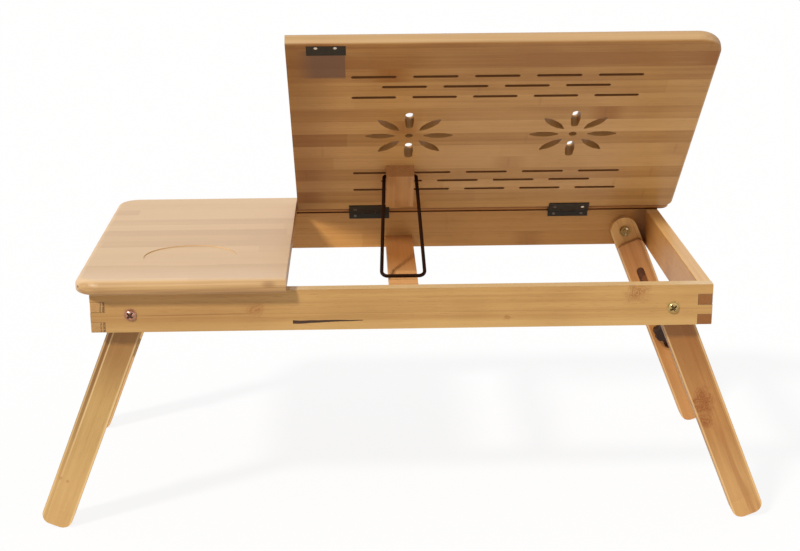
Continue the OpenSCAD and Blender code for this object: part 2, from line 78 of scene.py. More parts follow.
# --- Room -------------------------------------------------------------------------------
# A pale floor that runs out into a white room. The camera sees the floor whiter than the
# object does, so the shadow stays faint. A wide soft sun stands to the left in front.
class Line:
    """A value that changes over a surface. It wraps one socket, and sums on it add Math nodes."""

    def __init__(self, finish, socket):
        self.finish, self.socket = finish, socket

    def math(self, operation, *others):
        return self.finish.add("Math", self, *others, operation=operation)

    def __add__(self, other):
        return self.math("ADD", other)

    def __sub__(self, other):
        return self.math("SUBTRACT", other)

    def __rsub__(self, other):
        return self.finish.add("Math", other, self, operation="SUBTRACT")

    def __mul__(self, other):
        return self.math("MULTIPLY", other)

    def __truediv__(self, other):
        return self.math("DIVIDE", other)

    def __lt__(self, other):
        return self.math("LESS_THAN", other)

    def __gt__(self, other):
        return self.math("GREATER_THAN", other)

    def __abs__(self):
        return self.math("ABSOLUTE")

    def __neg__(self):
        return self.math("MULTIPLY", -1.0)

    __radd__, __rmul__ = __add__, __mul__


class Finish:
    """A procedural finish: a node tree around one shader, with the calls that add to it."""

    def __init__(self, tree, shader):
        self.tree, self.shader = tree, shader

    def add(self, kind, *values, out=0, sockets=None, stops=None, **settings):
        """Adds a node: its settings first, then its ramp stops, then its sockets by place or name."""
        node = self.tree.nodes.new("ShaderNode" + kind)
        for setting, value in settings.items():
            setattr(node, setting, value)
        for k, (place, colour) in enumerate(stops or []):
            ramp = node.color_ramp.elements
            stop = ramp[k] if k < len(ramp) else ramp.new(place)
            stop.position, stop.color = place, colour
        for place, value in [*enumerate(values), *(sockets or {}).items()]:
            self.feed(node.inputs[place], value)
        return Line(self, node.outputs[out])

    def feed(self, socket, value):
        if isinstance(value, Line):
            self.tree.links.new(value.socket, socket)
        else:
            socket.default_value = value

    def set(self, **values):
        """Feeds the shader's own sockets: Base_Color=..., Roughness=..."""
        for name, value in values.items():
            self.feed(self.shader.inputs[name.replace("_", " ")], value)

    def mix(self, share, first, second):
        """The first colour where share is 0, and the second where it is 1."""
        return self.add("Mix", out=2, data_type="RGBA", sockets={0: share, 6: first, 7: second})

    def soft_step(self, value, low, high):
        """0 below low, 1 above high, and smooth between them."""
        return self.add("MapRange", value, low, high, 0.0, 1.0, interpolation_type="SMOOTHSTEP")

    def band(self, value, low, high, soft):
        """1 between low and high, and 0 outside, with edges that are soft wide."""
        return (self.soft_step(value, low - soft / 2, low + soft / 2)
                * (1 - self.soft_step(value, high - soft / 2, high + soft / 2)))


def paint(red, green, blue):
    """A colour written in screen values from 0 to 255, as the shader's linear values."""
    screen = np.array([red, green, blue]).clip(0, 255) / 255
    linear = np.where(screen < 0.04045, screen / 12.92, ((screen + 0.055) / 1.055) ** 2.4)
    return (*linear.tolist(), 1.0)


def new_finish(name):
    material = bpy.data.materials.new(name)
    material.use_nodes = True
    finish = Finish(material.node_tree, material.node_tree.nodes["Principled BSDF"])
    finish.material = material
    return finish


FLOOR_REACH = 9.0
floor_mesh = bpy.data.meshes.new("floor")
floor_mesh.from_pydata(
    [(x * FLOOR_REACH, y * FLOOR_REACH, 0) for x, y in ((-1, -1), (1, -1), (1, 1), (-1, 1))],
    [], [(0, 1, 2, 3)])
floor = bpy.data.objects.new("floor", floor_mesh)
bpy.context.scene.collection.objects.link(floor)

FLOOR_WHITE_SHARE = 0.88
FLOOR_SEEN = (0.95, 0.95, 0.95, 1)
FLOOR_BOUNCE = (0.80, 0.77, 0.72, 1)
floor_finish = new_finish("floor_paper")
floor_path = floor_finish.tree.nodes.new("ShaderNodeLightPath")
seen = Line(floor_finish, floor_path.outputs["Is Camera Ray"])
floor_finish.set(Base_Color=floor_finish.mix(seen, FLOOR_BOUNCE, FLOOR_SEEN), Roughness=0.9,
                 Specular_IOR_Level=0.0)
glow = floor_finish.add("Emission", (1, 1, 1, 1), 1.0)
lit = floor_finish.add("MixShader", seen * FLOOR_WHITE_SHARE,
                       Line(floor_finish, floor_finish.shader.outputs[0]), glow)
floor_finish.feed(floor_finish.tree.nodes["Material Output"].inputs[0], lit)
floor_mesh.materials.append(floor_finish.material)

ROOM_LIGHT = 0.50
room = bpy.data.worlds.new("room")
bpy.context.scene.world = room
room.use_nodes = True
air = Finish(room.node_tree, room.node_tree.nodes["Background"])
air_path = room.node_tree.nodes.new("ShaderNodeLightPath")
plain_view = (Line(air, air_path.outputs["Is Camera Ray"])
              + Line(air, air_path.outputs["Is Glossy Ray"])
              + Line(air, air_path.outputs["Is Transmission Ray"])).math("MINIMUM", 1.0)
air.set(Color=(1.0, 0.99, 0.975, 1), Strength=plain_view * (1 - ROOM_LIGHT) + ROOM_LIGHT)

KEY_TRAVEL = Vector((0.487, 0.573, -0.659))
key = bpy.data.objects.new("key", bpy.data.lights.new("key", "SUN"))
key.data.energy = 2.55
key.data.angle = math.radians(8)
key.data.color = (1.0, 0.985, 0.95)
key.rotation_mode = "QUATERNION"
key.rotation_quaternion = KEY_TRAVEL.to_track_quat("-Z", "Y")
bpy.context.scene.collection.objects.link(key)
bpy.context.scene.view_settings.view_transform = "Standard"


# --- Rails of the frame -----------------------------------------------------------------
# Four bamboo rails, glued at the corners with finger joints. The long rails carry the top
# finger. The side rails' end grain shows between them, paler at the left, with dark glue lines.
KNUCKLE = paint(118, 70, 30)
HALO = paint(150, 88, 16)
SWIRL = paint(136, 70, 14)
KNUCKLE_PITCH = 0.30
SWIRL_PITCH = 0.0027
CUT_END = (168, 120, 74)


def dot(finish, vector, direction, shift=0.0):
    """How far a point lies along a direction, in metres."""
    return finish.add("VectorMath", vector, tuple(direction), out=1, operation="DOT_PRODUCT") + shift


def chance(finish, value, seed):
    """The same random share for every equal value."""
    return finish.add("TexWhiteNoise", out=0, noise_dimensions="1D", sockets={"W": value + seed})


def cloud(finish, along, across, through, scales, detail=3.0, seed=0.0):
    """Noise stretched along the grain: each length is multiplied by its own scale."""
    place = finish.add("CombineXYZ", along * scales[0] + seed, across * scales[1], through * scales[2])
    return finish.add("TexNoise", place, out=0, sockets={"Scale": 1.0, "Detail": detail, "Roughness": 0.6})


def bamboo(name, along, across, strip, mid, seed=0.0, tones=(), spread=0.5, shift=0.0,
           roughness=0.42, knuckles=0.5, grain=1.0, coat=0.18, coat_rough=0.28, cut=CUT_END, painted_face_light=(),
           curls=(), paints=None, uneven=1.0):
    """Laminated bamboo. Strips of one width lie side by side, each with its own tone, long
    fibres, fine flecks and a few knuckles with a brown halo. mid is the middle tone. tints
    paints light and shade onto faces, a lighter or darker tone by the way they turn:
    (direction, tone, share, low, high). curls are swirls of grain: (along, across, radius,
    share). paints adds more colour before the finish is closed."""
    along, across = Vector(along).normalized(), Vector(across).normalized()
    through = along.cross(across)
    mid = np.array(mid)
    light_tone, mid_tone = paint(*(mid + (20, 22, 24))), paint(*mid)
    deep_tone = paint(*(mid - (34, 37, 32)))
    wood = new_finish(name)
    spot = wood.add("TexCoord", out=3)
    facing = wood.add("TexCoord", out=1)
    a = dot(wood, spot, along)
    b = dot(wood, spot, across, shift)
    c = dot(wood, spot, through)
    waver = (cloud(wood, a, b, c, (6, 40, 40), 2.0, seed) - 0.5) * 0.0007
    lane = (b + waver) / strip + 100.0
    number = lane.math("FLOOR")
    within = lane.math("FRACT")
    if tones:
        steps = [(k / len(tones), (tone, tone, tone, 1)) for k, tone in enumerate(tones)]
        tone = wood.add("ValToRGB", (number - 100.0) / len(tones) + 0.5 / len(tones), stops=steps)
        tone.socket.node.color_ramp.interpolation = "CONSTANT"
    else:
        tone = (chance(wood, number, seed) - 0.5) * spread + 0.5
    stretch = a / KNUCKLE_PITCH + chance(wood, number, seed + 40.0) * 5.0 + waver * 3.0
    piece = stretch.math("FLOOR") * 17.3 + number * 5.7
    tone = tone + (chance(wood, piece, seed + 1.7) - 0.5) * 0.26
    strand = cloud(wood, a, b, c, (5, 420, 420), 4.0, seed + 3)
    broad = cloud(wood, a, b, c, (7, 75, 75), 2.0, seed + 7)
    streak = cloud(wood, a, b, c, (3, 190, 190), 3.0, seed + 13)
    mottle = cloud(wood, a, b, c, (22, 28, 28), 1.0, seed + 9)
    fleck = wood.soft_step(cloud(wood, a, b, c, (90, 1700, 1700), 1.0, seed + 5), 0.60, 0.72)
    shade = (tone + (strand - 0.5) * 0.50 * grain + (broad - 0.5) * 0.40 * uneven
             + (streak - 0.5) * 0.45 * grain + (mottle - 0.5) * 0.30 * uneven)
    colour = wood.add("ValToRGB", shade, stops=[(0.0, deep_tone), (0.5, mid_tone), (1.0, light_tone)])
    colour = wood.mix(fleck * 0.20 * grain, colour, KNUCKLE)
    seam = wood.soft_step(abs(within - 0.5), 0.480, 0.499)
    colour = wood.mix(seam * 0.28 * grain, colour, KNUCKLE)
    bow = (within - 0.5) * (within - 0.5) * 0.006
    from_knuckle = (stretch.math("FRACT") - 0.5) * KNUCKLE_PITCH
    knuckle = 1 - wood.soft_step(abs(from_knuckle) + bow, 0.0003, 0.0020)
    halo = ((1 - wood.soft_step(from_knuckle, 0.004, 0.020)) * wood.soft_step(from_knuckle, -0.018, -0.002)
            * wood.soft_step(chance(wood, piece, seed + 8.0), 0.15, 0.60))
    colour = wood.mix(halo * 0.70 * knuckles, colour, HALO)
    colour = wood.mix(knuckle * 0.16 * knuckles, colour, KNUCKLE)
    for place, place_across, radius, share in curls:
        ripple = cloud(wood, a, b, c, (110, 110, 110), 3.0, seed + 21) - 0.5
        drift = cloud(wood, a, b, c, (110, 110, 110), 3.0, seed + 27) - 0.5
        off_along, off_across = a - place + ripple * radius * 1.5, b - place_across + drift * radius * 1.5
        reach = (off_along * off_along + off_across * off_across * 1.5).math("SQRT")
        ring = (reach * (2 * math.pi / SWIRL_PITCH) + ripple * 14).math("SINE") * 0.5 + 0.5
        around = 1 - wood.soft_step(reach, radius * 0.15, radius)
        colour = wood.mix(around * (ring * 0.55 + 0.30) * share, colour, SWIRL)
    # Painted light and shade: faces that turn towards a direction get a lighter or darker tone.
    for direction, painted_face_tone, share, low, high in painted_face_light:
        turn = wood.soft_step(dot(wood, facing, Vector(direction).normalized()), low, high)
        grained = wood.mix((strand - 0.5) * 1.4 + 0.3, paint(*painted_face_tone), paint(*(np.array(painted_face_tone) - 34)))
        colour = wood.mix(turn * share, colour, grained)
    cut_end = wood.soft_step(abs(dot(wood, facing, along)), 0.80, 0.92)
    bundles = wood.add("TexVoronoi", wood.add("CombineXYZ", b * 900.0, c * 900.0, a * 40.0), out=0,
                       sockets={"Scale": 1.0})
    dots = 1 - wood.soft_step(bundles, 0.18, 0.42)
    end_colour = wood.mix(dots * 0.35, wood.mix(0.80, colour, paint(*cut)), KNUCKLE)
    colour = wood.mix(cut_end, colour, end_colour)
    wood.spot, wood.facing, wood.a, wood.b, wood.c, wood.strand = spot, facing, a, b, c, strand
    if paints:
        colour = paints(wood, colour)
    relief = strand * 0.5 + fleck * 0.3 + knuckle * 0.4 - seam * 0.5 - dots * cut_end * 0.6
    bump = wood.add("Bump", sockets={"Strength": 0.35, "Distance": 0.0003, "Height": relief})
    wood.set(Base_Color=colour, Roughness=(strand - 0.5) * 0.16 + fleck * 0.06 + roughness, Normal=bump,
             Coat_Weight=coat, Coat_Roughness=coat_rough, Specular_IOR_Level=0.4)
    return wood


def dress(finish, *nodes):
    """Puts a finish on CAD nodes, which keep their shape and place."""
    for node in nodes:
        slots = frame["nodes"][node].data.materials
        slots.clear()
        slots.append(finish.material)


def ease(radius, *nodes):
    """Takes the sharp arris off wooden CAD nodes: doubles are welded, then sharp edges rounded."""
    for node in nodes:
        piece = frame["nodes"][node]
        weld = piece.modifiers.new("weld", "WELD")
        weld.merge_threshold = 0.00002
        rounding = piece.modifiers.new("eased_edges", "BEVEL")
        rounding.width = radius
        rounding.segments = 2
        rounding.limit_method = "ANGLE"
        rounding.angle_limit = math.radians(50)


rail_low_corner, rail_top_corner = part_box("front_rail")
RAIL_LOW = rail_low_corner.z
RAIL_TOP = rail_top_corner.z
RAIL_FRONT = rail_low_corner.y
RAIL_END = rail_top_corner.x
RAIL_THICK = rail_top_corner.y - rail_low_corner.y
RAIL_LAMELLA = 0.019
FINGER_HIGH = (RAIL_TOP - RAIL_LOW) / 4
GLUE_HALF = 0.0004
GLUE = paint(86, 50, 22)


def glue_lines(wood, colour):
    """Dark glue lines round the fingers at both ends of the front and back faces, fainter at the left."""
    x, y, z = (dot(wood, wood.spot, axis) for axis in ((1, 0, 0), (0, 1, 0), (0, 0, 1)))
    long_face = wood.soft_step(abs(dot(wood, wood.facing, (0, 1, 0))), 0.5, 0.7)
    outside = long_face * (abs(y) > -RAIL_FRONT - 0.001)
    from_corner = abs(x) - (RAIL_END - RAIL_THICK)
    level_line = abs(((RAIL_TOP - z) / FINGER_HIGH + 0.5).math("FRACT") - 0.5) * FINGER_HIGH
    inner = abs(z - (RAIL_TOP + RAIL_LOW) / 2) < 1.5 * FINGER_HIGH
    level_line = (level_line < GLUE_HALF) * (from_corner > -GLUE_HALF) * inner
    finger = (RAIL_TOP - z) / (2 * FINGER_HIGH)
    upright_line = (abs(from_corner) < GLUE_HALF) * (finger.math("FRACT") > 0.5)
    faded = (x < 0.0) * 0.6
    lines = (level_line + upright_line).math("MINIMUM", 1.0) * outside * (1 - faded)
    return wood.mix(lines * 0.75, colour, GLUE)


CRACK_LEFT, CRACK_RIGHT, CRACK_HIGH, CRACK_HALF = -0.0842, -0.0305, 0.1722, 0.0011
SCRATCH_LEFT, SCRATCH_RIGHT, SCRATCH_HIGH = -0.198, -0.118, 0.1785
MARK_RISE = 0.012
# Where the painted shadow line of the fixed board lies on the front rail: left of this x, and this deep
# below the top.
BOARD_SHADOW_END, BOARD_SHADOW_DEEP = -0.0885, 0.0012
CORNER_SHADE_FROM, CORNER_SHADE_FULL = 0.211, 0.226
BACK_RAIL_INSIDE = 0.1285


def front_rail_marks(wood, colour):
    """A paler lower part, painted shade over the left end and a painted shadow line under the
    fixed board, a scratch, and a long drying crack that tapers to the right, with the glue lines over them."""
    low = wood.soft_step(-wood.b, 0.003, 0.012)
    colour = wood.mix(low * 0.30, colour, paint(222, 184, 120))
    # Painted shade over the left end, under the fixed board's overhang.
    painted_shade_left = 1 - wood.soft_step(wood.a, -0.15, -0.07)
    colour = wood.mix(painted_shade_left * 0.16, colour, paint(136, 84, 34))
    z = dot(wood, wood.spot, (0, 0, 1))
    y = dot(wood, wood.spot, (0, 1, 0))
    # Painted shadow: a thin dark line just under the fixed board.
    painted_board_shadow = (z > RAIL_TOP - BOARD_SHADOW_DEEP) * (wood.a < BOARD_SHADOW_END)
    colour = wood.mix(painted_board_shadow * 0.75, colour, paint(92, 46, 16))
    from_scratch = abs(z - SCRATCH_HIGH - (wood.a - SCRATCH_LEFT) * MARK_RISE)
    scratch = (1 - wood.soft_step(from_scratch, 0.0002, 0.0006))
    scratch = scratch * wood.band(wood.a, SCRATCH_LEFT, SCRATCH_RIGHT, 0.02)
    colour = wood.mix(scratch * 0.5, colour, paint(136, 88, 40))
    taper = (CRACK_RIGHT - wood.a) / (CRACK_RIGHT - CRACK_LEFT)
    wave = (cloud(wood, wood.a, wood.b, wood.c, (60, 5, 5), 1.0, 2.0) - 0.5) * 0.0012
    off = abs(z - CRACK_HIGH + wave - (wood.a - CRACK_LEFT) * MARK_RISE)
    inside = ((off < taper * CRACK_HALF + 0.00030) * (wood.a > CRACK_LEFT) * (wood.a < CRACK_RIGHT)
              * (y < RAIL_FRONT + 0.001))
    colour = wood.mix(inside * 0.97, colour, paint(48, 20, 2))
    return glue_lines(wood, colour)


def shaded_corner(wood, colour):
    """The glue lines, and painted shade that darkens the wood into the corner beside the right rail."""
    inside = dot(wood, wood.spot, (0, 1, 0)) < BACK_RAIL_INSIDE
    # Painted shade: the back rail darkens into the corner beside the right rail.
    painted_corner_shade = wood.soft_step(wood.a, CORNER_SHADE_FROM, CORNER_SHADE_FULL) * inside
    return glue_lines(wood, wood.mix(painted_corner_shade * 0.60, colour, paint(100, 50, 14)))


def worn_fingers(wood, colour):
    """Short dark strokes near the inner end of each finger on the left rail."""
    inward = dot(wood, wood.spot, (1, 0, 0)) + RAIL_END - RAIL_THICK
    height = dot(wood, wood.spot, (0, 0, 1))
    lean = (cloud(wood, wood.a, wood.b, wood.c, (30, 160, 160), 1.0, 6.0) - 0.5) * 0.0016
    strokes = (abs(inward + lean + 0.0010) < 0.0006) + (abs(inward + lean + 0.0032) < 0.0004)
    strokes = strokes * (dot(wood, wood.spot, (0, 1, 0)) < RAIL_FRONT + 0.001)
    broken = wood.soft_step(cloud(wood, height, height, height, (400, 400, 400), 1.0, 8.0), 0.34, 0.44)
    return wood.mix(strokes * broken * 0.75, colour, paint(92, 62, 26))


rail_shift = -RAIL_TOP + RAIL_LAMELLA
# The top face of the front rail is painted paler, as painted light.
front_rail_wood = bamboo(
    "front_rail_bamboo", (1, 0, 0), (0, 0, 1), RAIL_LAMELLA, (190, 146, 86), seed=4.0, spread=0.16,
    shift=rail_shift, knuckles=0.0, paints=front_rail_marks,
    painted_face_light=[((0, 0, 1), (238, 204, 150), 0.8, 0.5, 0.8)],
    curls=[(0.180, 0.013, 0.013, 0.8), (-0.113, 0.004, 0.009, 0.6), (0.080, -0.006, 0.004, 0.7)])
back_rail_wood = bamboo(
    "back_rail_bamboo", (1, 0, 0), (0, 0, 1), RAIL_LAMELLA, (195, 138, 69), seed=8.0, spread=0.20,
    shift=rail_shift, paints=shaded_corner)
left_rail_wood = bamboo(
    "left_rail_bamboo", (0, 1, 0), (0, 0, 1), RAIL_LAMELLA, (194, 138, 72), seed=12.0, spread=0.24,
    shift=rail_shift, paints=worn_fingers, cut=(178, 138, 86))
# The top face of the right rail is painted paler, as painted light.
right_rail_wood = bamboo(
    "right_rail_bamboo", (0, 1, 0), (0, 0, 1), RAIL_LAMELLA, (194, 138, 72), seed=11.0, spread=0.24,
    shift=rail_shift, cut=(122, 68, 22), painted_face_light=[((0, 0, 1), (236, 190, 122), 0.8, 0.5, 0.8)])
dress(front_rail_wood, "front_rail")
dress(back_rail_wood, "back_rail")
dress(left_rail_wood, "left_rail")
dress(right_rail_wood, "right_rail")
ease(0.0006, "left_rail", "right_rail")

# --- Fixed board and rear strip -----------------------------------------------------------
# Boards of edge-glued bamboo, sanded and lacquered, with rounded outer edges. A shallow
# round seat for a cup is turned into the fixed one.
BOARD_LAMELLA = 0.020

CUP_X, CUP_Y, CUP_R = -0.167, -0.072, 0.037
WORM_X, WORM_Z, WORM_FRONT = -0.2470, 0.2030, 0.14
NOSE_FRONT = 0.1385
SMUDGE_X, SMUDGE_Z = -0.1015, 0.2050


def nose_marks(wood, colour):
    """A paler top towards the front, a streaked front edge with painted light on its upper
    rounding and painted shade below, a smudge and a worm hole in it, and painted light on
    the shaded wall round the seat for the cup."""
    toward_front, z = -wood.b, dot(wood, wood.spot, (0, 0, 1))
    pale = wood.soft_step(toward_front, 0.095, 0.140)
    colour = wood.mix(pale * 0.35, colour, paint(240, 208, 170))
    front_face = wood.soft_step(-dot(wood, wood.facing, (0, 1, 0)), 0.30, 0.75) * (toward_front > NOSE_FRONT)
    streak = cloud(wood, wood.a, wood.b, wood.c, (9, 300, 600), 3.0, 5.0)
    # Painted light on the upper rounding of the front edge, and painted shade below it.
    painted_lit_upper = wood.soft_step(z, RAIL_TOP + 0.001, RAIL_TOP + 0.008)
    grained = wood.soft_step(streak, 0.35, 0.65) * 0.5 + painted_lit_upper * 0.5
    streaked = wood.mix(grained, paint(140, 96, 46), paint(192, 150, 92))
    colour = wood.mix(front_face * 0.9, colour, streaked)
    smudge_x, smudge_z = wood.a - SMUDGE_X, (z - SMUDGE_Z) * 2.2
    smudge = (smudge_x * smudge_x + smudge_z * smudge_z).math("SQRT") + (streak - 0.5) * 0.010
    smudge = (1 - wood.soft_step(smudge, 0.001, 0.008)) * front_face
    colour = wood.mix(smudge * 0.55, colour, paint(126, 80, 24))
    hole = (abs(wood.a - WORM_X) < 0.0008) * (abs(z - WORM_Z) < 0.0009) * (toward_front > WORM_FRONT)
    colour = wood.mix(hole * 0.85, colour, paint(60, 34, 14))
    off_x, off_y = wood.a - CUP_X, wood.b - CUP_Y
    from_wall = abs((off_x * off_x + off_y * off_y).math("SQRT") - CUP_R)
    # Painted light: the wall round the seat for the cup, which lies in shade, is painted paler.
    wall = (from_wall < 0.0006) * (1 - wood.soft_step(dot(wood, wood.facing, (0, 0, 1)), 0.3, 0.7))
    return wood.mix(wall * 0.6, colour, paint(226, 190, 146))


fixed_board_wood = bamboo(
    "fixed_board_bamboo", (1, 0, 0), (0, 1, 0), BOARD_LAMELLA, (205, 166, 117), seed=21.0, spread=0.06,
    roughness=0.42, knuckles=0.0, grain=0.26, coat=0.55, coat_rough=0.52, uneven=0.40, paints=nose_marks)

STRIP_LINE, STRIP_FRONT = 0.0016, 0.131


def strip_marks(wood, colour):
    """Painted shade: the strip is browner above the lowest few millimetres of its front edge, and a dark
    line runs along its foot where it meets the rail.
    """
    height = dot(wood, wood.spot, (0, 0, 1)) - RAIL_TOP
    front = dot(wood, wood.spot, (0, 1, 0)) < STRIP_FRONT
    foot = (1 - wood.soft_step(height, STRIP_LINE * 0.6, STRIP_LINE)) * front
    # Painted shade: the strip darkens above its lowest few millimetres, under the tilting board.
    painted_shade_head = wood.soft_step(height, 0.0020, 0.0034)
    colour = wood.mix(painted_shade_head * 0.55, colour, paint(116, 62, 18))
    return wood.mix(foot * 0.8, colour, paint(96, 46, 12))


# The front face of the strip is painted browner, as painted shade.
strip_wood = bamboo(
    "rear_strip_bamboo", (1, 0, 0), (0, 1, 0), BOARD_LAMELLA, (196, 136, 68), seed=24.0, spread=0.14,
    painted_face_light=[((0, -1, 0), (190, 128, 60), 0.6, 0.55, 0.95)], paints=strip_marks)
dress(fixed_board_wood, "fixed_top")
dress(strip_wood, "rear_strip")

# --- Drawer -------------------------------------------------------------------------------
# A face, two grooved sides, an end and a thin bottom, all of bamboo, on two runners under the
# fixed board. The photograph shows none of it.
drawer_face_wood = bamboo("drawer_face_bamboo", (0, 1, 0), (0, 0, 1), RAIL_LAMELLA, (196, 148, 86),
                          seed=31.0, spread=0.2)
drawer_side_wood = bamboo("drawer_side_bamboo", (1, 0, 0), (0, 0, 1), 0.012, (200, 154, 92), seed=33.0,
                          spread=0.2)
drawer_floor_wood = bamboo("drawer_floor_bamboo", (0, 1, 0), (1, 0, 0), 0.018, (206, 162, 102), seed=35.0,
                           spread=0.3)
dress(drawer_face_wood, "drawer_face", "drawer_end")
dress(drawer_side_wood, "drawer_side_f", "drawer_side_b", "runner_f", "runner_b")
dress(drawer_floor_wood, "drawer_bottom")

# --- Notched bar --------------------------------------------------------------------------
# One strip of bamboo across the frame, sawn with four notches for the foot of the prop. It is
# painted paler towards the front and on its top, as painted light, with a swirl of grain at the back.
def bar_marks(wood, colour):
    """Painted light: the bar is paler towards the front."""
    # Painted light: paler towards the front.
    front = 1 - wood.soft_step(wood.a, -0.03, 0.06)
    return wood.mix(front * 0.75, colour, paint(222, 168, 108))


# The top of the bar is painted paler, as painted light.
bar_wood = bamboo("notched_bar_bamboo", (0, 1, 0), (1, 0, 0), 0.0125, (156, 96, 44), seed=41.0,
                  spread=0.40, painted_face_light=[((0, 0, 1), (186, 124, 66), 0.7, 0.5, 0.8)],
                  curls=[(0.118, 0.004, 0.010, 0.8)], paints=bar_marks)
dress(bar_wood, "notched_bar")

# --- Legs ---------------------------------------------------------------------------------
# Each leg is two bamboo strips with round ends. The outer one turns on its bolt, and the
# slotted inner one slides along it and is clamped by a knob. The tops are browner, partly the
# wood's tone and partly painted shade below the rail, and the arrises carry painted highlights.
joint_named = {joint["name"]: joint for joint in frame["joints"]}
LEG_STRIP = 0.0245
LEG_HALF = LEG_STRIP / 2
SLOT_HALF, SLOT_TOP, SLOT_LOW = 0.0042, 0.030, 0.125
outer_strip_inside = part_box("leg_fixed_fl")[1]
INNER_FACE = abs(outer_strip_inside.y) + 0.0002
LEGS = {
    "fl": ("front_left", (186, 146, 86), (186, 146, 86), 1.0, 1.0, 0.40,
           [(0.1510, -0.0074, 0.0030, 1.0), (0.1517, -0.0021, 0.0024, 1.0)]),
    "fr": ("front_right", (186, 133, 74), (186, 133, 74), 0.8, 0.0, 0.40,
           [(0.086, -0.0030, 0.016, 1.2), (0.103, -0.0080, 0.010, 1.0)]),
    "bl": ("back_left", (192, 140, 80), (184, 128, 68), 0.40, 0.0, 0.0, []),
    "br": ("back_right", (226, 172, 100), (188, 126, 66), 0.0, 0.0, 0.22, []),
}
FOOT_FROM, FOOT_FULL = 0.10, 0.17
BROWN_FULL, BROWN_END = 0.030, 0.085


def leg_marks(wood, colour, top, middle, brown, banded, foot, slot_shade):
    """The upper part is browner, partly the wood's tone and partly painted shade below the rail,
    and the foot paler. Painted highlights run down the arrises and along a line on the front
    left leg, which also has a dark band along its outer edge, and painted shade darkens the outer
    strips where the slot of the inner strip shows them. top and middle say where the bolt is in
    the grain."""
    down_leg, off = wood.a - top, wood.b - middle
    pale = wood.soft_step(down_leg, FOOT_FROM, FOOT_FULL)
    colour = wood.mix(pale * foot, colour, paint(220, 178, 118))
    # The browner top is partly the wood's tone and partly painted shade below the rail.
    brown_top_and_shade = 1 - wood.soft_step(down_leg, BROWN_FULL, BROWN_END)
    colour = wood.mix(brown_top_and_shade * (wood.strand * 0.5 + 0.5) * brown * 0.80, colour, paint(126, 72, 16))
    band = (1 - wood.soft_step(off, -0.0090, -0.0078)) * (1 - wood.soft_step(down_leg, 0.06, 0.15))
    colour = wood.mix(band * 0.65 * banded, colour, paint(120, 74, 28))
    # Painted highlight: a cream line down the front left leg, inside its dark band.
    brightened = wood.band(off, -0.0080, -0.0071, 0.0006) * (1 - wood.soft_step(down_leg, FOOT_FROM, FOOT_FULL))
    colour = wood.mix(brightened * 0.55 * banded, colour, paint(238, 208, 156))
    inner_y = abs(dot(wood, wood.spot, (0, 1, 0))) < INNER_FACE
    flame = wood.soft_step(cloud(wood, wood.a, wood.b, wood.c, (8, 150, 150), 3.0, 3.0), 0.50, 0.66)
    colour = wood.mix(flame * brown * (0.55 - 0.45 * banded), colour, paint(148, 86, 32))
    # Painted shade where the slot of the inner strip shows the outer strip.
    painted_slot_shade = (abs(off) < SLOT_HALF) * (down_leg > SLOT_TOP) * (down_leg < SLOT_LOW) * inner_y
    colour = wood.mix(painted_slot_shade * slot_shade, colour, paint(124, 56, 12))
    # Painted highlights: cream lines down both arrises of each strip.
    edge = wood.band(abs(off), LEG_HALF - 0.0015, LEG_HALF - 0.0003, 0.0005)
    return wood.mix(edge * 0.45, colour, paint(240, 208, 152))


for k, (end, (words, outer_tone, inner_tone, brown, banded, foot, swirls)) in enumerate(LEGS.items()):
    down = Vector(joint_named["extend_" + words]["axis"])
    sideways = down.cross(Vector((0, 1, 0)))
    start = Vector(joint_named["fold_" + words]["pos_m"])
    start_along, start_across = start.dot(down), start.dot(sideways)

    swirls = [(start_along + a, start_across + b, radius, share) for a, b, radius, share in swirls]
    for part, tone, slot_shade in (("fixed", outer_tone, 0.85), ("slide", inner_tone, 0.0)):
        marks = partial(leg_marks, top=start_along, middle=start_across, brown=brown, banded=banded,
                        foot=foot, slot_shade=slot_shade)
        # One side face of each strip is painted paler, as painted light.
        leg_wood = bamboo(f"leg_{part}_bamboo_{end}", down, sideways, LEG_STRIP, tone, seed=51.0 + 5 * k,
                          spread=0.1, grain=1.3, curls=swirls, paints=marks, knuckles=0.4,
                          painted_face_light=[(sideways, (226, 190, 130), 0.5, 0.6, 0.9)])
        dress(leg_wood, f"leg_{part}_{end}")
        ease(0.0008, f"leg_{part}_{end}")

# --- Lock knobs ---------------------------------------------------------------------------
# Star knobs moulded in near-black brown plastic, one for each leg. Each turns on a plated
# stud that passes through the slot of the inner strip.
knob_plastic = new_finish("knob_plastic")
knob_spot = knob_plastic.add("TexCoord", out=3)
grain = knob_plastic.add("TexNoise", knob_spot, out=0, sockets={"Scale": 1800.0, "Detail": 2.0})
knob_bump = knob_plastic.add("Bump", sockets={"Strength": 0.2, "Distance": 0.0002, "Height": grain})
knob_plastic.set(Base_Color=knob_plastic.mix(grain, (0.014, 0.006, 0.003, 1), (0.036, 0.014, 0.007, 1)),
                 Roughness=grain * 0.2 + 0.50,
                 Specular_IOR_Level=0.3, Normal=knob_bump)
dress(knob_plastic, *["lock_knob_" + end for end in LEGS])


def metal(name, dark, bright, roughness, scale=500.0):
    """Plated metal, a little darker in patches."""
    plate = new_finish(name)
    place = plate.add("TexCoord", out=3)
    patch = plate.add("TexNoise", place, out=0, sockets={"Scale": scale, "Detail": 3.0})
    plate.set(Base_Color=plate.mix(patch, (*dark, 1), (*bright, 1)), Roughness=patch * 0.18 + roughness,
              Metallic=1.0)
    return plate


stud_steel = metal("stud_steel", (0.42, 0.38, 0.30), (0.66, 0.60, 0.48), 0.22)
dress(stud_steel, *["lock_stud_" + end for end in LEGS])

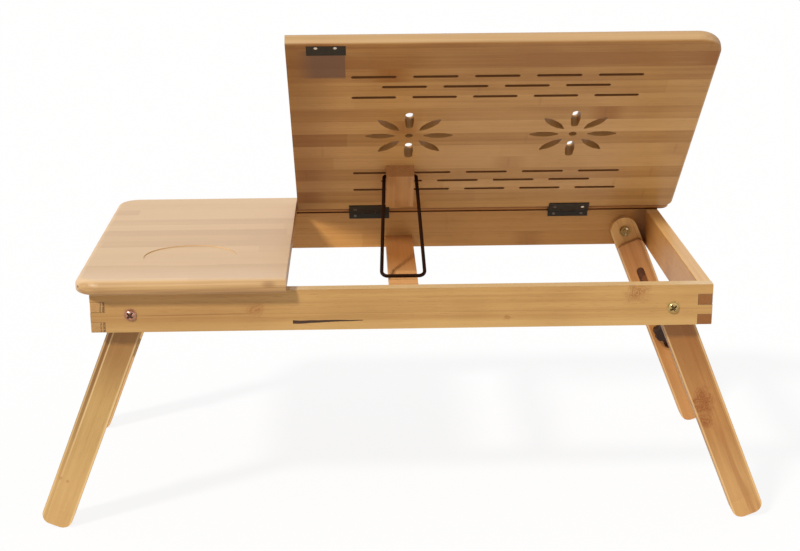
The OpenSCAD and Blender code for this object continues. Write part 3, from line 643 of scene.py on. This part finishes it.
# --- Pivot bolts --------------------------------------------------------------------------
# Plated bolts with a domed cross-recess head and a washer outside, and a washer and a six-sided
# nut inside. Each is one turned surface from the crown of the head to the end of the thread.
MM = 0.001
HEAD_R, HEAD_H, WASHER_R, WASHER_T = 4.0 * MM, 2.6 * MM, 4.7 * MM, 0.8 * MM
DOME_R = 5.2 * MM
RECESS_ARM, RECESS_REACH, RECESS_DEEP = 0.66 * MM, 2.9 * MM, 1.7 * MM
THREAD_OUT = 1.0 * MM
SHANK_R, NUT_FLAT, NUT_H, INNER_WASHER_R = 2.5 * MM, 4.0 * MM, 3.0 * MM, 4.8 * MM
NUT_TIP, NUT_SHOULDER = NUT_FLAT * 1.03, NUT_FLAT * 1.10
COLUMNS = 120
ROUND = np.linspace(0, 2 * np.pi, COLUMNS, endpoint=False)


def recess(radius, turn, arm, reach, deep):
    """Depth of a cross recess at each radius and angle: two bars, deepest at their crossing."""
    angle = ROUND[None, :] - turn
    x, y = radius * np.cos(angle), radius * np.sin(angle)
    blur = arm * 0.35

    def inside(value, limit):
        return np.clip((limit - np.abs(value)) / blur + 0.5, 0, 1)

    cross = np.maximum(inside(x, arm) * inside(y, reach), inside(y, arm) * inside(x, reach))
    return cross * deep * (1.15 - radius / reach * 0.75).clip(0, 1)


def domed_head(head_r, head_h, dome_r, turn, arm, reach, deep, rows=34):
    """Head of a screw: z(r, angle) = h - R + sqrt(R^2 - r^2), less the recess."""
    radius = np.linspace(0, head_r, rows)[:, None] * np.ones((1, COLUMNS))
    height = head_h - dome_r + np.sqrt(dome_r ** 2 - radius ** 2) - recess(radius, turn, arm, reach, deep)
    return radius, height


def full_rows(values):
    """Rows with a number for every column, from such rows or from one number for each row."""
    values = np.array(values, dtype=float)
    return values if values.ndim > 1 else np.repeat(values[:, None], COLUMNS, axis=1)


def turned_grid(parts, centre, right, out):
    """Stacks rows of (radius, height) turned about an axis that leaves centre along out."""
    radius = np.vstack([full_rows(radii) for radii, _ in parts])
    height = np.vstack([full_rows(heights) for _, heights in parts])
    right, out = np.array(right), np.array(out)
    side = np.cross(out, right)
    return (np.array(centre) + (radius * np.cos(ROUND))[..., None] * right
            + (radius * np.sin(ROUND))[..., None] * side + height[..., None] * out)


def surface(name, grid, finish, body, wrap_rows=False, sharp=35):
    """A piece from a grid of points, rows by columns. Columns close on themselves, and rows do
    too where wrap_rows is set. Edges sharper than sharp degrees stay crisp."""
    rows, columns = grid.shape[:2]
    here = np.arange(rows * columns).reshape(rows, columns)
    beside, below = np.roll(here, -1, axis=1), np.roll(here, -1, axis=0)
    quads = np.stack([here, beside, np.roll(below, -1, axis=1), below], axis=-1)
    quads = quads[:rows if wrap_rows else rows - 1].reshape(-1, 4)
    mesh = bpy.data.meshes.new(name)
    mesh.from_pydata(grid.reshape(-1, 3).tolist(), [], quads.tolist())
    shell = bmesh.new()
    shell.from_mesh(mesh)
    bmesh.ops.remove_doubles(shell, verts=shell.verts, dist=1e-7)
    bmesh.ops.recalc_face_normals(shell, faces=shell.faces)
    for face in shell.faces:
        face.smooth = True
    shell.to_mesh(mesh)
    shell.free()
    mesh.set_sharp_from_angle(angle=math.radians(sharp))
    piece = bpy.data.objects.new(name, mesh)
    bpy.context.scene.collection.objects.link(piece)
    mesh.materials.append(finish.material)
    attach(piece, body)
    return piece


def bolt_grid(centre, out, grip, turn):
    """A whole bolt. centre is on the rail's outer face, and grip is the wood between the washers."""
    head_radius, head_height = domed_head(HEAD_R, HEAD_H, DOME_R, turn, RECESS_ARM, RECESS_REACH,
                                          RECESS_DEEP)
    edge = head_height[-1, 0] + WASHER_T
    corner = 0.12 * MM
    hexagon = NUT_FLAT / np.cos((ROUND % (np.pi / 3)) - np.pi / 6)
    seat = -grip - WASHER_T
    tip, shoulder, nut_end = hexagon.clip(None, NUT_TIP), hexagon.clip(None, NUT_SHOULDER), seat - NUT_H
    nut_rows = [(tip, seat), (shoulder, seat - 0.3 * MM), (hexagon, seat - 0.6 * MM),
                (hexagon, nut_end + 0.6 * MM), (shoulder, nut_end + 0.3 * MM), (tip, nut_end)]
    nut = (np.array([row for row, _ in nut_rows]), np.array([np.full(COLUMNS, z) for _, z in nut_rows]))
    parts = [
        (head_radius, head_height + WASHER_T),
        ([HEAD_R, HEAD_R], [edge - 0.1 * MM, WASHER_T]),
        ([WASHER_R - corner, WASHER_R, WASHER_R, WASHER_R - corner],
         [WASHER_T, WASHER_T - corner, corner, 0]),
        ([SHANK_R, SHANK_R], [0, -grip]),
        ([INNER_WASHER_R - corner, INNER_WASHER_R, INNER_WASHER_R, INNER_WASHER_R - corner],
         [-grip, -grip - corner, seat + corner, seat]),
        nut,
        ([SHANK_R, SHANK_R, SHANK_R - 0.4 * MM, 0],
         [nut_end, nut_end - 0.6 * MM, nut_end - THREAD_OUT, nut_end - THREAD_OUT]),
    ]
    return turned_grid(parts, centre, (1, 0, 0), out)


pivot_place = Vector(joint_named["fold_front_right"]["pos_m"])


def bolt_metal(name, dark, bright, roughness):
    """Plated metal, with two painted glints on the nut and painted shade in the recess, which is
    where the surface lies below the dome z = h - R + sqrt(R^2 - r^2)."""
    plate = metal(name, dark, bright, roughness)
    place = plate.add("TexCoord", out=3)
    x, y, z = (dot(plate, place, axis) for axis in ((1, 0, 0), (0, 1, 0), (0, 0, 1)))
    off_x, off_z = abs(x) - abs(pivot_place.x), z - pivot_place.z
    dome = ((DOME_R ** 2 - (off_x * off_x + off_z * off_z)).math("MAXIMUM", 0.0).math("SQRT")
            + (WASHER_T + HEAD_H - DOME_R - RAIL_FRONT))
    # Painted shade in the cross recess of the head.
    sunk = (plate.soft_step(dome - abs(y), 0.15 * MM, 0.45 * MM) * (abs(y) > -RAIL_FRONT + WASHER_T * 1.05)
            * ((off_x * off_x + off_z * off_z) < (HEAD_R * 0.95) ** 2))
    old = plate.shader.inputs["Base Color"].links[0].from_socket
    inside = abs(y) < -RAIL_FRONT - RAIL_THICK
    # Painted glints: two bright spots on the nut.
    painted_glints = 0.0
    for glint_x, glint_z, glint_r in ((1.4 * MM, 2.8 * MM, 1.3 * MM), (0.4 * MM, -2.4 * MM, 0.9 * MM)):
        from_x, from_z = off_x - glint_x, off_z - glint_z
        reach = (from_x * from_x + from_z * from_z).math("SQRT")
        painted_glints = (1 - plate.soft_step(reach, glint_r * 0.6, glint_r)) + painted_glints
    nut_and_glints = plate.mix(painted_glints, (0.34, 0.21, 0.075, 1), (1.0, 0.95, 0.72, 1))
    shown = plate.mix(inside * 0.85, Line(plate, old), nut_and_glints)
    plate.set(Base_Color=plate.mix(sunk * 0.80, shown, (0.05, 0.018, 0.010, 1)))
    return plate


copper_plate = bolt_metal("copper_plate", (0.24, 0.09, 0.055), (0.74, 0.44, 0.33), 0.14)
brass_plate = bolt_metal("brass_plate", (0.22, 0.13, 0.035), (0.80, 0.60, 0.26), 0.10)
BOLT_TURNS = {"fl": 0.80, "fr": 0.62, "bl": 0.3, "br": 1.1}
for end, (words, *_) in LEGS.items():
    bolt_low, bolt_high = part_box("pivot_bolt_" + end)
    pivot = Vector(joint_named["fold_" + words]["pos_m"])
    out_y = -1 if end[0] == "f" else 1
    face_y = out_y * -RAIL_FRONT
    inner_y = bolt_high.y if out_y < 0 else bolt_low.y
    grip = abs(face_y - inner_y) - WASHER_T - NUT_H - THREAD_OUT
    grid = bolt_grid((pivot.x, face_y, pivot.z), (0, out_y, 0), grip, BOLT_TURNS[end])
    plate = copper_plate if end == "fl" else brass_plate
    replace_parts(surface("bolt_" + end, grid, plate, "frame"), "pivot_bolt_" + end)

# --- Tilting board ------------------------------------------------------------------------
# The slotted board, hinged at the back and raised by forty degrees. Its strips run across
# the desk, each a little lighter or darker than the next, and darker towards the free edge,
# partly as painted shade. The walls of the slots and petals are painted dark as shade, the
# left side of the underside is painted browner as shade, the free edge face is painted paler
# as light, and a grey-brown patch lies beside the catch plate.
hinge_axis = Vector(joint_named["lid_tilt"]["pos_m"])
TILT = math.radians(-joint_named["lid_tilt"]["range_deg"][0])
toward_edge = Vector((0, -math.cos(TILT), math.sin(TILT)))
board_out = Vector((0, math.sin(TILT), math.cos(TILT)))
board_corner, board_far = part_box("tilt_top")
BOARD_DEEP = 0.2758
BOARD_LEFT, BOARD_RIGHT = board_corner.x, board_far.x
# Each strip's tone from the hinge out. The darkest, by the free edge, carry painted shade as well.
BOARD_TONES = (0.62, 0.50, 0.72, 0.38, 0.66, 0.86, 0.26, 0.80, 0.42, 0.66, 0.44, 0.30, 0.08, 0.20)
RIM, HINGE_RIM = 0.012, 0.014
PETALS_NEAR, PETALS_FAR = 0.075, 0.175
PATCH_LEFT, PATCH_RIGHT, PATCH_NEAR, PATCH_FAR = -0.0722, -0.0412, 0.226, 0.266


def board_marks(wood, colour):
    """Painted shade on the walls inside the openings, paler in the petals, painted shade on the left side of
    the underside, and a grey-brown patch.
    """
    x = wood.a
    out_of = wood.b
    flat = abs(dot(wood, wood.facing, board_out))
    underneath = wood.soft_step(-dot(wood, wood.facing, board_out), 0.5, 0.7)
    inner = (wood.band(x, BOARD_LEFT + RIM, BOARD_RIGHT - RIM, 0.0005)
             * wood.band(out_of, HINGE_RIM, BOARD_DEEP - RIM, 0.0005))
    wall = (1 - wood.soft_step(flat, 0.35, 0.6)) * inner
    petals = wood.band(out_of, PETALS_NEAR, PETALS_FAR, 0.001)
    # Painted shade on the walls inside the openings, paler in the petals.
    wall_shade = wood.mix(petals, paint(116, 62, 12), paint(158, 106, 36))
    colour = wood.mix(wall * (0.80 - petals * 0.20), colour, wall_shade)
    # Painted shade on the left side of the underside.
    shaded_left_side = (1 - wood.soft_step(x, BOARD_LEFT + 0.004, BOARD_LEFT + 0.05)) * underneath
    colour = wood.mix(shaded_left_side * 0.42, colour, paint(112, 62, 22))
    grey_patch_x = wood.soft_step(x, PATCH_LEFT - 0.010, PATCH_LEFT + 0.008) * (x < PATCH_RIGHT)
    grey_patch = (grey_patch_x * wood.soft_step(out_of, PATCH_NEAR - 0.001, PATCH_NEAR + 0.003)
             * (out_of < PATCH_FAR) * underneath)
    return wood.mix(grey_patch * 0.84, colour, paint(112, 78, 58))


# The free edge face is painted paler, as painted light.
tilting_board_wood = bamboo(
    "tilting_board_bamboo", (1, 0, 0), toward_edge, BOARD_LAMELLA, (193, 143, 80), seed=61.0,
    tones=BOARD_TONES, shift=-hinge_axis.dot(toward_edge), roughness=0.44, knuckles=0.9, coat=0.12,
    uneven=1.15, paints=board_marks, painted_face_light=[(toward_edge, (200, 164, 118), 0.85, 0.45, 0.9)])
dress(tilting_board_wood, "tilt_top")

# --- Prop block ---------------------------------------------------------------------------
# A block of bamboo glued under the tilting board, its grain towards the free edge. A hole
# across it takes the wire of the prop.
block_wood = bamboo("prop_block_bamboo", toward_edge, (1, 0, 0), 0.0125, (200, 146, 90), seed=71.0,
                    spread=0.2, cut=(176, 122, 72))
dress(block_wood, "prop_block")


# --- Catch plate --------------------------------------------------------------------------
# A dark plate let into the underside of the tilting board, near its free edge. Two bright
# domed screws with cross recesses hold it.
def on_board(x, along, out):
    """A place on the tilting board: along from the hinge axis towards the free edge, and out of its top."""
    return hinge_axis + Vector((x, 0, 0)) + along * toward_edge + out * board_out


def screw(name, centre, out, finish, body, radius=1.7 * MM, turn=0.5):
    """A small domed screw, sunk a little into what it holds."""
    head_radius, head_height = domed_head(radius, radius * 0.36, radius * 1.6, turn, radius * 0.17,
                                          radius * 0.62, radius * 0.30, rows=18)
    sunk = 0.25 * MM
    parts = [(head_radius, head_height), ([radius, 0], [-sunk, -sunk])]
    return surface(name, turned_grid(parts, centre, (1, 0, 0), out), finish, body)


def black_steel(name, dark, bright, roughness, shine=0.35):
    """Steel with a satin black coat."""
    coat = new_finish(name)
    place = coat.add("TexCoord", out=3)
    noise = coat.add("TexNoise", place, out=0, sockets={"Scale": 900.0, "Detail": 2.0})
    bump = coat.add("Bump", sockets={"Strength": 0.15, "Distance": 0.0002, "Height": noise})
    coat.set(Base_Color=coat.mix(noise, (*dark, 1), (*bright, 1)), Roughness=noise * 0.2 + roughness,
             Specular_IOR_Level=shine, Normal=bump)
    return coat


hinge_black = black_steel("hinge_black", (0.010, 0.007, 0.004), (0.030, 0.022, 0.012), 0.40)
bright_steel = metal("bright_steel", (0.62, 0.58, 0.50), (0.90, 0.86, 0.78), 0.14)
dress(hinge_black, "catch_plate")
PLATE_UNDER, PLATE_ALONG = -1.3 * MM, 269.4 * MM
for side, x, turn in (("left", -63.7 * MM, 0.3), ("right", -48.7 * MM, 1.0)):
    screw("catch_screw_" + side, on_board(x, PLATE_ALONG, PLATE_UNDER), -board_out, bright_steel, "lid",
          radius=1.5 * MM, turn=turn)

# --- Hinges -------------------------------------------------------------------------------
# Two butt hinges in satin black steel. Each has two screws in the leaf on the board and two
# in the leaf on the back rail. One screw of the right hinge is bright steel.
dress(hinge_black, "hinge_rail_leaf_l", "hinge_rail_leaf_r", "hinge_lid_leaf_l", "hinge_lid_leaf_r")
dark_screw = metal("dark_screw", (0.05, 0.04, 0.03), (0.26, 0.22, 0.17), 0.22)
LEAF_UNDER = -2.2 * MM
LEAF_FRONT = 127.1 * MM
HINGE_SCREW_OUT, HINGE_SCREW_ALONG, HINGE_SCREW_HIGH = 12.5 * MM, 7.6 * MM, 195.2 * MM
for side, middle in (("l", -23 * MM), ("r", 157 * MM)):
    for word, x in (("left", middle - HINGE_SCREW_OUT), ("right", middle + HINGE_SCREW_OUT)):
        brightened = bright_steel if (side, word) == ("r", "right") else dark_screw
        screw(f"hinge_{side}_board_screw_{word}", on_board(x, HINGE_SCREW_ALONG, LEAF_UNDER), -board_out,
              brightened, "lid")
        screw(f"hinge_{side}_rail_screw_{word}", (x, LEAF_FRONT, HINGE_SCREW_HIGH), (0, -1, 0),
              dark_screw, "frame", radius=1.4 * MM)

# --- Wire prop ----------------------------------------------------------------------------
# One loop of black steel wire, bent at four corners: a pin through the block, two legs that
# spread a little, and a foot that stands on the notched bar.
WIRE_R = 1.5 * MM
PIN_HALF, FOOT_HALF = 13.8 * MM, 18.0 * MM
PIN_BEND, FOOT_BEND = 1.6 * MM, 5.0 * MM
prop_pivot = Vector(joint_named["prop_swing"]["pos_m"])
wire_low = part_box("wire_bail")[0]
foot_level = Vector((0, wire_low.y + WIRE_R, wire_low.z + WIRE_R)) - Vector((0, prop_pivot.y, prop_pivot.z))


def rounded_loop(corners, radii, steps=12):
    """A closed path through corners, each rounded by an arc of its radius, tangent to both sides."""
    points = []
    for k, (corner, radius) in enumerate(zip(corners, radii)):
        before = corners[k - 1] - corner
        after = corners[(k + 1) % len(corners)] - corner
        before, after = before / np.linalg.norm(before), after / np.linalg.norm(after)
        half = 0.5 * np.arccos(before @ after)
        middle = (before + after) / np.linalg.norm(before + after)
        centre = corner + middle * radius / np.sin(half)
        first = corner + before * radius / np.tan(half) - centre
        last = corner + after * radius / np.tan(half) - centre
        sweep = np.pi - 2 * half
        for share in np.linspace(0, 1, steps):
            points.append(centre + (np.sin((1 - share) * sweep) * first + np.sin(share * sweep) * last)
                          / np.sin(sweep))
    return np.array(points)


def swept_loop(path, flat_normal, radius, sides=24):
    """A round bar along a closed flat path: p + r (cos q n + sin q b), with b = t x n."""
    ahead_of = np.roll(path, -1, axis=0) - path
    ahead_of = ahead_of / np.linalg.norm(ahead_of, axis=1)[:, None]
    tangent = ahead_of + np.roll(ahead_of, 1, axis=0)
    tangent = tangent / np.linalg.norm(tangent, axis=1)[:, None]
    sideways_of = np.cross(tangent, flat_normal)
    angle = np.linspace(0, 2 * np.pi, sides, endpoint=False)
    return (path[:, None] + radius * (np.cos(angle)[None, :, None] * flat_normal
                                      + np.sin(angle)[None, :, None] * sideways_of[:, None]))


pivot_point, foot = np.array(prop_pivot), np.array(foot_level)
sideways_x = np.array([1.0, 0.0, 0.0])
loop_corners = [pivot_point - PIN_HALF * sideways_x, pivot_point + foot - FOOT_HALF * sideways_x,
                pivot_point + foot + FOOT_HALF * sideways_x, pivot_point + PIN_HALF * sideways_x]
wire_path = rounded_loop(loop_corners, (PIN_BEND, FOOT_BEND, FOOT_BEND, PIN_BEND))
flat_normal = np.cross(sideways_x, foot / np.linalg.norm(foot))
wire_black = black_steel("wire_black", (0.012, 0.003, 0.001), (0.024, 0.007, 0.002), 0.55, 0.06)
wire = surface("prop_wire", swept_loop(wire_path, flat_normal, WIRE_R), wire_black, "prop",
               wrap_rows=True, sharp=80)
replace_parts(wire, "wire_bail")
